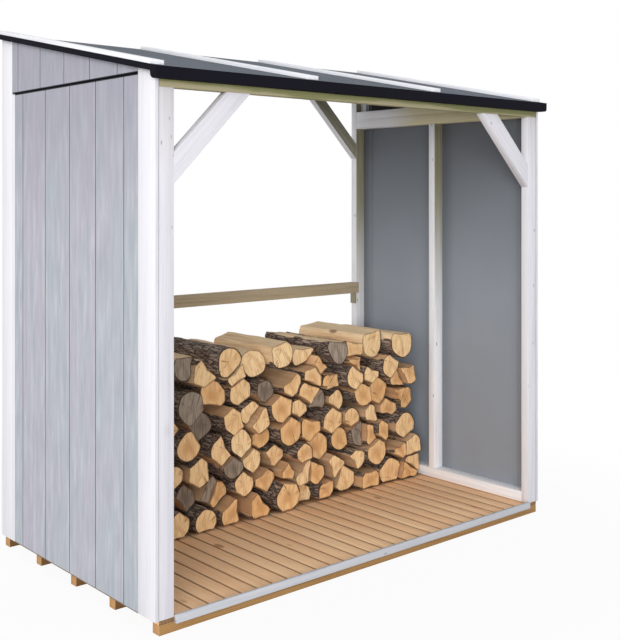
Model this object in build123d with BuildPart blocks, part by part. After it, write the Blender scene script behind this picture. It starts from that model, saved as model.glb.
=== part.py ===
"""Open-fronted timber log store with a lean-to roof, and the firewood stacked in it.

Millimetres. X runs across the front, Y from the front to the back, Z up from the ground.
The origin is on the ground, in the middle of the plan.
"""
from build123d import *
import math
import os
import random

os.makedirs("parts", exist_ok=True)

# Overall sizes over the side walls and the posts
width_over_walls = 2050.0
depth_over_walls = 1165.0
header_underside = 1800.0
roof_pitch = 11.45

# Floor: five bearers left to right, and boards front to back on them
bearer_count = 5
bearer_width = 40.0
bearer_height = 35.0
deck_thickness = 14.0
deck_board_width = 64.8
deck_board_pitch = 69.7
sill_thickness = 14.0
sill_height = 29.0
sill_rise = 9.0

# Wall frames: posts and studs stand on the deck, the rails lie between them
frame_depth = 58.0
post_width = 38.0
bottom_rail_height = 46.0
header_height = 50.0
back_header_height = 58.0
stud_setback = 567.0

# Gables between the top rails and the roof
gable_rail_height = 40.0
gable_timber = 25.0
gable_top_rail_height = 34.0

# Boards outside the frames
cladding_thickness = 15.0
cladding_drop = 2.0
gable_gap = 6.0
front_corner_width = 107.0
back_corner_width = 96.0
cover_strip_width = 24.0
board_pitch = 193.5
first_groove = 92.0
gable_first_groove = 136.0
groove_width = 7.0
groove_depth = 4.0

# Braces at 45 degrees in the four corners, and the rail across the back
front_brace_leg = 319.0
front_brace_width = 72.0
back_brace_leg = 382.0
back_brace_width = 58.0
mid_rail_underside = 922.0
mid_rail_height = 57.0
lap_length = 20.0
cleat_thickness = 8.0
cleat_height = 55.0

# Roof: rafters, boards, felt folded down all round, and battens up the slope
rafter_count = 2
rafter_height = 58.0
roof_board_thickness = 18.0
felt_thickness = 3.0
eave_overhang = 34.0
verge_overhang = 20.0
fascia_height = 39.0
fascia_corner_radius = 14.0
roof_batten_count = 4
roof_batten_width = 58.0
roof_batten_thickness = 15.0
roof_batten_setback = 39.0

# Firewood: courses of split logs that lie front to back in the rear half of the bay, and loose
# ones on top. The stagger and the scatter of the logs are shares of the pitch and of the course
# height, and the three shares say how many logs are laid as two halves, how much of the top
# course is there, and how many of its logs lie with a split face up.
log_course_height = 98.0
log_pitch = 136.0
log_stagger = 0.25
log_scatter = 0.22
log_settling_rounds = 2
log_size_small = 44.0
log_size_large = 70.0
bark_reach = 50.0
pith_offset = 26.0
halved_share = 0.16
halved_spacing = 66.0
loose_share = 0.6
face_up_share = 0.5
face_up_height = 26.0
face_up_tilt = 0.3
log_length = 470.0
log_length_spread = 40.0
log_end_spread = 70.0
stack_back_gap = 10.0
stack_headroom = 116.0
stack_side_lean = 0.11
log_clearance = 0.4
log_seed = 4

# Places that follow from the sizes
half_width = width_over_walls / 2
half_depth = depth_over_walls / 2
front_y = -half_depth
back_y = half_depth
frame_outer = half_width - cladding_thickness
frame_inner = frame_outer - frame_depth
frame_middle = frame_outer - frame_depth / 2
deck_top = bearer_height + deck_thickness
cladding_bottom = deck_top - cladding_drop
rail_front = front_y + post_width
rail_back = back_y - post_width
top_rail_top = header_underside + header_height
slope = math.tan(math.radians(roof_pitch))
steepness = 1 / math.cos(math.radians(roof_pitch))
board_rise = roof_board_thickness * steepness
felt_rise = felt_thickness * steepness
roof_front = front_y - eave_overhang + felt_thickness
roof_back = back_y + eave_overhang - felt_thickness
roof_half_width = half_width + verge_overhang - felt_thickness
sides = (("left", -1), ("right", 1))
stack_top = mid_rail_underside - stack_headroom
log_courses = round((stack_top - deck_top) / log_course_height)


def roof_underside(y):
    """Height of the underside of the roof boards at y."""
    return top_rail_top + (y - front_y) * slope


def roof_y(height):
    """The y at which the underside of the roof boards reaches a height."""
    return front_y + (height - top_rail_top) / slope


back_header_underside = roof_underside(rail_back) - back_header_height
fascia_bottom = roof_underside(front_y - eave_overhang) + board_rise + felt_rise - fascia_height

# Floor bearers
with BuildPart() as bearers:
    bearer_step = (depth_over_walls - bearer_width) / (bearer_count - 1)
    with Locations((0, 0, bearer_height / 2)):
        with GridLocations(0, bearer_step, 1, bearer_count):
            Box(2 * frame_outer, bearer_width, bearer_height)
bearers.part.label = "floor_bearers"
export_step(bearers.part, "parts/floor_bearers.step")

# Deck boards, spread evenly between the outer faces of the frames
deck_count = round(2 * frame_outer / deck_board_pitch)
deck_step = (2 * frame_outer - deck_board_width) / (deck_count - 1)
with BuildPart() as deck:
    with Locations((0, 0, bearer_height + deck_thickness / 2)):
        with GridLocations(deck_step, 0, deck_count, 1):
            Box(deck_board_width, depth_over_walls, deck_thickness)
deck.part.label = "floor_deck"
export_step(deck.part, "parts/floor_deck.step")

# Sill across the deck ends between the front posts, a lip above the deck
with BuildPart() as sill:
    with Locations((0, front_y - sill_thickness / 2, deck_top + sill_rise - sill_height / 2)):
        Box(2 * frame_inner, sill_thickness, sill_height)
sill.part.label = "front_sill"
export_step(sill.part, "parts/front_sill.step")

# Side wall frames
for side, sign in sides:
    # Front post, up to the header
    with BuildPart() as front_post:
        with Locations((sign * frame_middle, front_y + post_width / 2, deck_top)):
            Box(frame_depth, post_width, header_underside - deck_top,
                align=(Align.CENTER, Align.CENTER, Align.MIN))
    front_post.part.label = f"front_post_{side}"
    export_step(front_post.part, f"parts/front_post_{side}.step")

    # Back post, up to the back header, with a notch for the lapped end of the mid rail
    with BuildPart() as back_post:
        with Locations((sign * frame_middle, back_y - post_width / 2, deck_top)):
            Box(frame_depth, post_width, back_header_underside - deck_top,
                align=(Align.CENTER, Align.CENTER, Align.MIN))
        with Locations((sign * (frame_inner + lap_length / 2), rail_back + post_width / 4,
                        mid_rail_underside + mid_rail_height / 2)):
            Box(lap_length, post_width / 2, mid_rail_height, mode=Mode.SUBTRACT)
    back_post.part.label = f"back_post_{side}"
    export_step(back_post.part, f"parts/back_post_{side}.step")

    # Bottom rail between the posts
    with BuildPart() as bottom_rail:
        with Locations((sign * frame_middle, 0, deck_top + bottom_rail_height / 2)):
            Box(frame_depth, rail_back - rail_front, bottom_rail_height)
    bottom_rail.part.label = f"bottom_rail_{side}"
    export_step(bottom_rail.part, f"parts/bottom_rail_{side}.step")

    # Middle stud between the two rails
    stud_bottom = deck_top + bottom_rail_height
    with BuildPart() as stud:
        with Locations((sign * frame_middle, front_y + stud_setback, stud_bottom)):
            Box(frame_depth, post_width, header_underside - stud_bottom,
                align=(Align.CENTER, Align.MIN, Align.MIN))
    stud.part.label = f"middle_stud_{side}"
    export_step(stud.part, f"parts/middle_stud_{side}.step")

    # Top rail from the front header to the back post
    with BuildPart() as top_rail:
        with Locations((sign * frame_middle, 0, header_underside + header_height / 2)):
            Box(frame_depth, rail_back - rail_front, header_height)
    top_rail.part.label = f"top_rail_{side}"
    export_step(top_rail.part, f"parts/top_rail_{side}.step")

    # Gable bottom rail, its front end cut to the roof slope
    gable_rail_top = top_rail_top + gable_rail_height
    with BuildPart() as gable_rail:
        with BuildSketch(Plane.YZ.offset(sign * frame_middle)):
            Polygon((rail_front, top_rail_top), (rail_back, top_rail_top), (rail_back, gable_rail_top),
                    (roof_y(gable_rail_top), gable_rail_top), (rail_front, roof_underside(rail_front)),
                    align=None)
        extrude(amount=frame_depth / 2, both=True)
    gable_rail.part.label = f"gable_rail_{side}"
    export_step(gable_rail.part, f"parts/gable_rail_{side}.step")

    # Gable top rail along the roof slope, tapered where it meets the bottom rail
    gable_under = gable_top_rail_height * steepness
    gable_middle = frame_outer - gable_timber / 2
    with BuildPart() as gable_top_rail:
        with BuildSketch(Plane.YZ.offset(sign * gable_middle)):
            Polygon((roof_y(gable_rail_top), gable_rail_top),
                    (roof_y(gable_rail_top + gable_under), gable_rail_top),
                    (rail_back, roof_underside(rail_back) - gable_under),
                    (rail_back, roof_underside(rail_back)), align=None)
        extrude(amount=gable_timber / 2, both=True)
    gable_top_rail.part.label = f"gable_top_rail_{side}"
    export_step(gable_top_rail.part, f"parts/gable_top_rail_{side}.step")

    # Short gable stud beside the back post, its top on the slope of the gable top rail
    stud_front = rail_back - post_width
    with BuildPart() as gable_stud:
        with BuildSketch(Plane.YZ.offset(sign * gable_middle)):
            Polygon((stud_front, gable_rail_top), (rail_back, gable_rail_top),
                    (rail_back, roof_underside(rail_back) - gable_under),
                    (stud_front, roof_underside(stud_front) - gable_under), align=None)
        extrude(amount=gable_timber / 2, both=True)
    gable_stud.part.label = f"gable_stud_{side}"
    export_step(gable_stud.part, f"parts/gable_stud_{side}.step")

# Boards outside the side walls
for side, sign in sides:
    wall_face = Plane.YZ.offset(sign * (half_width - cladding_thickness / 2))
    panel_front = front_y + front_corner_width
    panel_back = back_y - back_corner_width
    wall_back = panel_back - cover_strip_width

    # Corner boards, their tops cut to the roof slope
    for end, near, far in (("front", front_y, panel_front), ("back", panel_back, back_y)):
        with BuildPart() as corner_board:
            with BuildSketch(wall_face):
                Polygon((near, cladding_bottom), (far, cladding_bottom),
                        (far, roof_underside(far)), (near, roof_underside(near)), align=None)
            extrude(amount=cladding_thickness / 2, both=True)
        corner_board.part.label = f"{end}_corner_board_{side}"
        export_step(corner_board.part, f"parts/{end}_corner_board_{side}.step")

    # Cover strip where the lower boards end at the back
    with BuildPart() as cover_strip:
        with BuildSketch(wall_face):
            Polygon((wall_back, cladding_bottom), (panel_back, cladding_bottom),
                    (panel_back, top_rail_top), (wall_back, top_rail_top), align=None)
        extrude(amount=cladding_thickness / 2, both=True)
    cover_strip.part.label = f"cover_strip_{side}"
    export_step(cover_strip.part, f"parts/cover_strip_{side}.step")

    # Lower wall boards, grooved at each joint on the outer face
    groove_count = int((wall_back - panel_front - first_groove) / board_pitch) + 1
    with BuildPart() as wall_boards:
        with BuildSketch(wall_face):
            Polygon((panel_front, cladding_bottom), (wall_back, cladding_bottom),
                    (wall_back, top_rail_top), (panel_front, top_rail_top), align=None)
        extrude(amount=cladding_thickness / 2, both=True)
        with BuildSketch(Plane.XY.offset(cladding_bottom)):
            for groove in range(groove_count):
                joint = panel_front + first_groove + groove * board_pitch
                Polygon((sign * half_width, joint - groove_width / 2),
                        (sign * (half_width - groove_depth), joint),
                        (sign * half_width, joint + groove_width / 2), align=None)
        extrude(amount=top_rail_top - cladding_bottom, mode=Mode.SUBTRACT)
    wall_boards.part.label = f"wall_boards_{side}"
    export_step(wall_boards.part, f"parts/wall_boards_{side}.step")

    # Gable boards, a wedge under the roof, grooved at joints of their own
    gable_bottom = top_rail_top + gable_gap
    gable_groove_count = int((panel_back - panel_front - gable_first_groove) / board_pitch) + 1
    with BuildPart() as gable_boards:
        with BuildSketch(wall_face):
            Polygon((panel_front, gable_bottom), (panel_back, gable_bottom),
                    (panel_back, roof_underside(panel_back)),
                    (panel_front, roof_underside(panel_front)), align=None)
        extrude(amount=cladding_thickness / 2, both=True)
        with BuildSketch(Plane.XY.offset(gable_bottom)):
            for groove in range(gable_groove_count):
                joint = panel_front + gable_first_groove + groove * board_pitch
                Polygon((sign * half_width, joint - groove_width / 2),
                        (sign * (half_width - groove_depth), joint),
                        (sign * half_width, joint + groove_width / 2), align=None)
        extrude(amount=roof_underside(panel_back) - gable_bottom, mode=Mode.SUBTRACT)
    gable_boards.part.label = f"gable_boards_{side}"
    export_step(gable_boards.part, f"parts/gable_boards_{side}.step")

# Headers on the posts, their tops cut to the roof slope
for place, near, far, underside in (("front", front_y, rail_front, header_underside),
                                    ("back", rail_back, back_y, back_header_underside)):
    with BuildPart() as header:
        with BuildSketch(Plane.YZ):
            Polygon((near, underside), (far, underside),
                    (far, roof_underside(far)), (near, roof_underside(near)), align=None)
        extrude(amount=frame_outer, both=True)
    header.part.label = f"{place}_header"
    export_step(header.part, f"parts/{place}_header.step")

# Braces between the posts and the headers
for place, middle, underside, leg, width in (
        ("front", front_y + post_width / 2, header_underside, front_brace_leg, front_brace_width),
        ("back", back_y - post_width / 2, back_header_underside, back_brace_leg, back_brace_width)):
    cut = leg - width * math.sqrt(2)
    for side, sign in sides:
        with BuildPart() as brace:
            with BuildSketch(Plane.XZ.offset(-middle)):
                Polygon((sign * frame_inner, underside - leg), (sign * frame_inner, underside - cut),
                        (sign * (frame_inner - cut), underside),
                        (sign * (frame_inner - leg), underside), align=None)
            extrude(amount=post_width / 2, both=True)
        brace.part.label = f"{place}_brace_{side}"
        export_step(brace.part, f"parts/{place}_brace_{side}.step")

# Rail across the open back, half lapped into the posts
with BuildPart() as mid_rail:
    with Locations((0, back_y - post_width / 2, mid_rail_underside + mid_rail_height / 2)):
        Box(2 * frame_inner, post_width, mid_rail_height)
    with Locations((0, rail_back + post_width / 4, mid_rail_underside + mid_rail_height / 2)):
        Box(2 * (frame_inner + lap_length), post_width / 2, mid_rail_height)
mid_rail.part.label = "back_mid_rail"
export_step(mid_rail.part, "parts/back_mid_rail.step")

# Cleats on the posts under the ends of that rail
with BuildPart() as cleats:
    for side, sign in sides:
        with Locations((sign * (frame_inner - cleat_thickness / 2), back_y - post_width / 2,
                        mid_rail_underside - cleat_height / 2)):
            Box(cleat_thickness, post_width, cleat_height)
cleats.part.label = "rail_cleats"
export_step(cleats.part, "parts/rail_cleats.step")

# Rafters between the headers, under the inner battens
roof_batten_step = (2 * (half_width + verge_overhang) - roof_batten_width) / (roof_batten_count - 1)
with BuildPart() as rafters:
    for rafter in range(rafter_count):
        rafter_x = (rafter - (rafter_count - 1) / 2) * roof_batten_step
        with BuildSketch(Plane.YZ.offset(rafter_x)):
            Polygon((rail_front, roof_underside(rail_front) - rafter_height),
                    (rail_back, roof_underside(rail_back) - rafter_height),
                    (rail_back, roof_underside(rail_back)),
                    (rail_front, roof_underside(rail_front)), align=None)
        extrude(amount=post_width / 2, both=True)
rafters.part.label = "rafters"
export_step(rafters.part, "parts/rafters.step")

# Roof boards
with BuildPart() as roof_boards:
    with BuildSketch(Plane.YZ):
        Polygon((roof_front, roof_underside(roof_front)), (roof_back, roof_underside(roof_back)),
                (roof_back, roof_underside(roof_back) + board_rise),
                (roof_front, roof_underside(roof_front) + board_rise), align=None)
    extrude(amount=roof_half_width, both=True)
roof_boards.part.label = "roof_boards"
export_step(roof_boards.part, "parts/roof_boards.step")

# Batten under the front edge of the boards, which the felt is folded round
eave_batten_bottom = fascia_bottom + felt_thickness
with BuildPart() as eave_batten:
    with BuildSketch(Plane.YZ):
        Polygon((roof_front, eave_batten_bottom), (front_y, eave_batten_bottom),
                (front_y, roof_underside(front_y)), (roof_front, roof_underside(roof_front)), align=None)
    extrude(amount=roof_half_width, both=True)
    eave_ends = eave_batten.edges().filter_by(Axis.Y).group_by(Axis.Z)[0]
    fillet(eave_ends, fascia_corner_radius - felt_thickness)
eave_batten.part.label = "eave_batten"
export_step(eave_batten.part, "parts/eave_batten.step")

# Roof felt: a sheet folded down over all four edges, and round the front, the ends and the
# underside of the batten at the eave, whose lower corners are round
felt_front = front_y - eave_overhang
felt_back = back_y + eave_overhang
felt_half_width = half_width + verge_overhang
with BuildPart() as felt:
    with BuildSketch(Plane.YZ):
        Polygon((felt_front, roof_underside(felt_front)), (felt_back, roof_underside(felt_back)),
                (felt_back, roof_underside(felt_back) + board_rise + felt_rise),
                (felt_front, roof_underside(felt_front) + board_rise + felt_rise), align=None)
    extrude(amount=felt_half_width, both=True)
    with BuildSketch(Plane.YZ):
        Polygon((felt_front, fascia_bottom), (front_y, fascia_bottom),
                (front_y, roof_underside(front_y)), (felt_front, roof_underside(felt_front)), align=None)
    extrude(amount=felt_half_width, both=True)
    fascia_corners = felt.edges().filter_by(Axis.Y).group_by(Axis.Z)[0]
    fillet(fascia_corners, fascia_corner_radius)
    add(eave_batten.part, mode=Mode.SUBTRACT)
    with BuildSketch(Plane.YZ):
        Polygon((roof_front, roof_underside(roof_front)), (roof_back, roof_underside(roof_back)),
                (roof_back, roof_underside(roof_back) + board_rise),
                (roof_front, roof_underside(roof_front) + board_rise), align=None)
    extrude(amount=roof_half_width, both=True, mode=Mode.SUBTRACT)
felt.part.label = "roof_felt"
export_step(felt.part, "parts/roof_felt.step")

# Battens up the slope on the felt
batten_front = felt_front + roof_batten_setback
batten_back = felt_back - roof_batten_setback
felt_top = board_rise + felt_rise
with BuildPart() as roof_battens:
    for batten in range(roof_batten_count):
        batten_x = (batten - (roof_batten_count - 1) / 2) * roof_batten_step
        with BuildSketch(Plane.YZ.offset(batten_x)):
            Polygon((batten_front, roof_underside(batten_front) + felt_top),
                    (batten_back, roof_underside(batten_back) + felt_top),
                    (batten_back, roof_underside(batten_back) + felt_top + roof_batten_thickness),
                    (batten_front, roof_underside(batten_front) + felt_top + roof_batten_thickness),
                    align=None)
        extrude(amount=roof_batten_width / 2, both=True)
roof_battens.part.label = "roof_battens"
export_step(roof_battens.part, "parts/roof_battens.step")


# Firewood. Each log's outline is the ground nearest to its own heart in the stack, within the
# round of its bark, so that neighbours bear on each other along split faces and leave gaps where
# three of them meet. The pith, the centre of that round, lies off the heart, because most logs
# are a part of a round, with bark on one side and split faces on the others.
def clip(outline, point_x, point_z, normal_x, normal_z):
    """The part of a convex outline on the near side of a line through a point."""
    kept = []
    for (ax, az), (bx, bz) in zip(outline, outline[1:] + outline[:1]):
        a_side = (ax - point_x) * normal_x + (az - point_z) * normal_z
        b_side = (bx - point_x) * normal_x + (bz - point_z) * normal_z
        if a_side <= 0:
            kept.append((ax, az))
        if a_side * b_side < 0:
            share = a_side / (a_side - b_side)
            kept.append((ax + share * (bx - ax), az + share * (bz - az)))
    return kept


def log_outline(heart, others):
    """Outline of one log: its square of reach cut back to the walls, the deck and its neighbours."""
    x, z, size = heart
    reach = 2 * log_size_large
    outline = [(x - reach, z - reach), (x + reach, z - reach), (x + reach, z + reach), (x - reach, z + reach)]
    outline = clip(outline, 0, deck_top, 0, -1)
    outline = clip(outline, -frame_inner + log_clearance, 0, -1, 0)
    outline = clip(outline, frame_inner - log_clearance, deck_top, 1, stack_side_lean)
    for other_x, other_z, other_size in others:
        apart = math.hypot(other_x - x, other_z - z)
        if 0 < apart < 2 * reach:
            normal = ((other_x - x) / apart, (other_z - z) / apart)
            share = (apart + (size ** 2 - other_size ** 2) / apart) / 2 - log_clearance / 2
            outline = clip(outline, x + share * normal[0], z + share * normal[1], *normal)
    return outline


def middle_of(outline):
    """Average of an outline's corners."""
    return sum(x for x, z in outline) / len(outline), sum(z for x, z in outline) / len(outline)


rng = random.Random(log_seed)
hearts = []
for course in range(log_courses):
    course_z = deck_top + (course + 1 / 2) * log_course_height
    course_right = frame_inner - (course_z - deck_top) * stack_side_lean
    count = round((course_right + frame_inner) / log_pitch)
    pitch = (course_right + frame_inner) / count
    stagger = log_stagger if course % 2 else -log_stagger
    for place in range(count):
        if course == log_courses - 1 and rng.random() > loose_share:
            continue
        heart_x = -frame_inner + (place + 1 / 2 + stagger + rng.uniform(-log_scatter, log_scatter)) * pitch
        heart_z = course_z + rng.uniform(-log_scatter, log_scatter) * log_course_height
        size = rng.uniform(log_size_small, log_size_large)
        hearts.append([heart_x, min(heart_z, stack_top - math.hypot(size, bark_reach)), size, course])

# The hearts settle towards the middles of their outlines, and none rises over the stack's top
for settling in range(log_settling_rounds):
    seats = [heart[:3] for heart in hearts]
    for heart in hearts:
        heart[0], heart[1] = middle_of(log_outline(heart[:3], seats))
        heart[1] = min(heart[1], stack_top - math.hypot(heart[2], bark_reach))

# Some logs are laid as two halves, and each gets its pith
logs = []
for x, z, size, course in hearts:
    hearts_here = [(x, z)]
    if rng.random() < halved_share:
        turn = rng.uniform(0, math.pi)
        apart_x = math.cos(turn) * halved_spacing / 2
        apart_z = math.sin(turn) * halved_spacing / 2
        hearts_here = [(x - apart_x, z - apart_z), (x + apart_x, z + apart_z)]
    for heart_x, heart_z in hearts_here:
        offset = rng.uniform(0, pith_offset)
        turn = rng.uniform(-math.pi, math.pi)
        pith = (heart_x + offset * math.cos(turn), heart_z + offset * math.sin(turn))
        logs.append(((heart_x, heart_z, size), pith, course))

seats = [heart for heart, pith, course in logs]
for course in range(log_courses):
    with BuildPart() as firewood:
        for heart, pith, log_course in logs:
            if log_course != course:
                continue
            outline = log_outline(heart, seats)
            if course == log_courses - 1 and rng.random() < face_up_share:
                tilt = rng.uniform(-face_up_tilt, face_up_tilt)
                outline = clip(outline, heart[0], heart[1] + face_up_height, tilt, 1)
            log_front = back_y - stack_back_gap - log_length - rng.uniform(0, log_end_spread)
            with BuildSketch(Plane.XZ.offset(-log_front)):
                Polygon(*outline, align=None)
                with Locations(pith):
                    Circle(math.hypot(heart[2], bark_reach), mode=Mode.INTERSECT)
            extrude(amount=-(log_length - rng.uniform(0, log_length_spread)))
    firewood.part.label = f"firewood_course_{course + 1}"
    export_step(firewood.part, f"parts/firewood_course_{course + 1}.step")
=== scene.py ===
# %% [markdown]
# # An open log store and its stack of firewood
# The store is a small timber lean-to: two boarded side walls in white frames, a boarded floor on
# bearers, and a felted roof that falls to the open front. Split logs are stacked along its open
# back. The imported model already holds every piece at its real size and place, so this lesson never
# moves a piece. It rounds the arrises, gives every piece its grain and finish, and turns the plain
# log solids into logs with bark, split faces and sawn ends.

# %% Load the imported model
import math
import random

import bpy
import numpy as np
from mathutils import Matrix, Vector


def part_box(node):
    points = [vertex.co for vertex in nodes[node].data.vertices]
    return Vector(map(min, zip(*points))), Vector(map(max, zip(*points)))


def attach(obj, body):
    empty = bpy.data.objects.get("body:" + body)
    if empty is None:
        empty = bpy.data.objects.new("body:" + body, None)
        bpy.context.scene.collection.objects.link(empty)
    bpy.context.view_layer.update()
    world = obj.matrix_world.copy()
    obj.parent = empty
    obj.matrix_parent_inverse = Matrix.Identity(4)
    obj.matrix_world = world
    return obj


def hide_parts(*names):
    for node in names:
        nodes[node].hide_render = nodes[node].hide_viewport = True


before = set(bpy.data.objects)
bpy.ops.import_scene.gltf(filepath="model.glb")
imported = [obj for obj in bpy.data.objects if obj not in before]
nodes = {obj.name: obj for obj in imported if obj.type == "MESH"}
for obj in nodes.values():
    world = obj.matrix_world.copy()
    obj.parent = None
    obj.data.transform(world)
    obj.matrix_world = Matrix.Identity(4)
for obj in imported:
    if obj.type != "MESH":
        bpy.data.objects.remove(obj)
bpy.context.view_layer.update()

# %% [markdown]
# ## The camera
# The picture was taken at the height of a person's chest, from beyond the front left corner. The
# camera is level, which keeps the posts upright. The horizon lies above the middle of the picture,
# so the lens is shifted instead of tilted.

# %% Camera at the photograph's viewing angle
picture_width = 620
picture_height = 640
focal_length = 1022.5
horizon_row = 196.2
sensor_width = 36.0
camera_place = (-2.8306, -3.4304, 1.4405)
camera_level = math.radians(90)
camera_turn = -0.7153

camera_data = bpy.data.cameras.new("camera")
camera_data.sensor_fit = "HORIZONTAL"
camera_data.sensor_width = sensor_width
camera_data.lens = focal_length / picture_width * sensor_width
camera_data.shift_y = (horizon_row - picture_height / 2) / picture_width
camera = bpy.data.objects.new("camera", camera_data)
camera.location = camera_place
camera.rotation_euler = (camera_level, 0, camera_turn)
bpy.context.scene.collection.objects.link(camera)
bpy.context.scene.camera = camera
print("Lens:", round(camera_data.lens, 1), "mm")

# %% [markdown]
# ## Shader sums as plain expressions
# A finish is mostly arithmetic on a few patterns: streaks, rings and knots. Wiring each sum by
# hand hides the idea, so a small class wraps a socket, and adding or multiplying two of them
# places the Math node. Every other node comes from one method, and the patterns that come back
# in many finishes have methods of their own.

# %% A socket that can be added, multiplied and mixed
MIX_FACTOR = 0
MIX_FIRST_COLOUR = 6
MIX_SECOND_COLOUR = 7
MIX_COLOUR_RESULT = 2
RIGHT, BACK, UP = range(3)


class Wire:
    """A socket in a material's node tree."""

    def __init__(self, tree, socket=None):
        self.tree = tree
        self.socket = socket

    def node(self, kind, settings=None, inputs=None, output=0):
        """Adds a node: its settings first, then the values or links of its sockets."""
        made = self.tree.nodes.new("ShaderNode" + kind)
        for name, value in (settings or {}).items():
            setattr(made, name, value)
        for name, value in (inputs or {}).items():
            if isinstance(value, Wire):
                self.tree.links.new(value.socket, made.inputs[name])
            else:
                made.inputs[name].default_value = value
        return Wire(self.tree, made.outputs[output]) if made.outputs else None

    def math(self, operation, first, second=0.0):
        return self.node("Math", {"operation": operation}, {0: first, 1: second})

    def __add__(self, other):
        return self.math("ADD", self, other)

    def __sub__(self, other):
        return self.math("SUBTRACT", self, other)

    def __rsub__(self, other):
        return self.math("SUBTRACT", other, self)

    def __mul__(self, other):
        return self.math("MULTIPLY", self, other)

    def __abs__(self):
        return self.math("ABSOLUTE", self)

    __radd__ = __add__
    __rmul__ = __mul__

    def step(self, low, high):
        """0 at low, 1 at high and smooth between them, where low may be the higher number."""
        return self.node("MapRange", {"interpolation_type": "SMOOTHSTEP"},
                         {"Value": self, "From Min": low, "From Max": high})

    def mix(self, first, second):
        """The first colour where this wire is 0, the second where it is 1."""
        return self.node("Mix", {"data_type": "RGBA"},
                         {MIX_FACTOR: self, MIX_FIRST_COLOUR: first, MIX_SECOND_COLOUR: second},
                         MIX_COLOUR_RESULT)

    def vector(self, operation, other, output=0):
        return self.node("VectorMath", {"operation": operation}, {0: self, 1: other}, output)

    def length(self):
        return self.vector("LENGTH", (0.0, 0.0, 0.0), "Value")

    def part(self, axis):
        """One of the three numbers of a place, a direction or a colour."""
        return self.node("SeparateXYZ", None, {0: self}, axis)

    def attribute(self, name, output="Fac"):
        """What the vertices of a piece store under a name."""
        return self.node("Attribute", {"attribute_name": name}, output=output)

    def object_point(self):
        """Metres from the point on the ground in the middle of the store."""
        return self.node("TexCoord", output="Object")

    def facing(self, axis):
        """How far the surface faces along an axis, from -1 to 1."""
        return self.node("TexCoord", output="Normal").part(axis)

    def noise(self, stretch, detail=3.0, output=0):
        """Cloudy noise with so many patches a metre along each axis."""
        stretched = {"Vector": self.vector("MULTIPLY", stretch), "Scale": 1.0, "Detail": detail}
        return self.node("TexNoise", None, stretched, output)

    def spots(self, stretch, rim, core, empty, channel=0):
        """Round spots in the cells of a stretched grid, of which a share stays empty. A spot is 1 up
        to its core and 0 beyond its rim, both in cells from its middle."""
        cells = {"Vector": self.vector("MULTIPLY", stretch), "Scale": 1.0}
        near = self.node("TexVoronoi", None, cells, "Distance")
        cell = self.node("TexVoronoi", None, cells, "Color").part(channel)
        return near.step(rim, core) * cell.step(empty, empty + 0.02)


# %% Colours, and the start and the end of a finish
def colour(red, green, blue):
    """A colour as it looks on a screen, 0 to 255, as the linear values that a shader takes."""
    return [((value / 255 + 0.055) / 1.055) ** 2.4 for value in (red, green, blue)] + [1.0]


def darkened(shade, share):
    """A colour that throws back only a share of its light."""
    return [value * share for value in shade[:3]] + [1.0]


def tinted(base, *tints):
    """A colour with tints laid over it, each as where it shows, how strongly, and its colour."""
    for where, strength, shade in tints:
        base = (where * strength).mix(base, shade)
    return base


def new_finish(name):
    """An empty material, and a wire to build it with."""
    material = bpy.data.materials.new(name)
    material.use_nodes = True
    material.node_tree.nodes.clear()
    return material, Wire(material.node_tree)


def close_finish(wire, base, roughness, height, relief, shine=0.3):
    """Joins a colour, a roughness and a height, 0 to 1 over a relief in metres, to the shader."""
    bump = wire.node("Bump", None, {"Strength": 1.0, "Distance": relief, "Height": height})
    shader = wire.node("BsdfPrincipled", None, {"Base Color": base, "Roughness": roughness,
                                                "Normal": bump, "Specular IOR Level": shine})
    wire.node("OutputMaterial", None, {"Surface": shader})


print("A middle grey on the screen, for a shader:", round(colour(128, 128, 128)[0], 3))

# %% [markdown]
# ## What all wood has in common
# Wood is a solid, and its rings are tubes round the pith of the tree. If each vertex of a board
# knows its place in the tree, as metres along the trunk and metres across from the pith, the same
# few nodes give long streaks on the faces, arched rings on wide boards and arcs on sawn ends, and
# the figure runs round the corners as it does in real timber. So every board and log stores that
# place as an attribute, with a tone of its own beside it. A pattern is then stretched by three
# numbers: a few patches a metre along the trunk, and many across it.

# %% The pattern of a piece of wood
ring_spacing = 0.0055


def rings_in(place):
    """The dark late wood of each year, round a pith that wanders a little."""
    wander = place.noise((1.3, 5.0, 5.0), 1.0, "Color").vector("MULTIPLY", (0.0, 0.03, 0.03))
    across = place.vector("ADD", wander).vector("MULTIPLY", (0.0, 1.0, 1.0))
    wave = place.math("SINE", across.length() * (2 * math.pi / ring_spacing))
    return (wave * 0.5 + 0.5).step(0.3, 1.0)


def knots_in(place):
    """Round knots, which four cells of the grid in five are without."""
    return place.spots((4.5, 9.0, 9.0), 0.17, 0.08, 0.8)


def wood_pattern(wire):
    """Place in the tree, rings, streaks along the grain and knots, each but the place from 0 to 1."""
    place = wire.attribute("tree_place", "Vector")
    return place, rings_in(place), place.noise((3.0, 75.0, 75.0), 4.0), knots_in(place)


# %% [markdown]
# ## The smooth inner side of a wall
# Inside, a wall is a plain grey panel. Its colour is darkened as painted shade under the roof and
# in the corners before the studs, where little light reaches it. The trim that stands beside a
# panel has the same inside, so the shade is a function that both finishes call.

# %% Inner side of a wall
panel_grey = colour(153, 160, 169)
panel_darkens_from = 0.9
panel_darkest_at = 1.8
corner_reach = 0.09
behind_stud_front = 0.02


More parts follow.
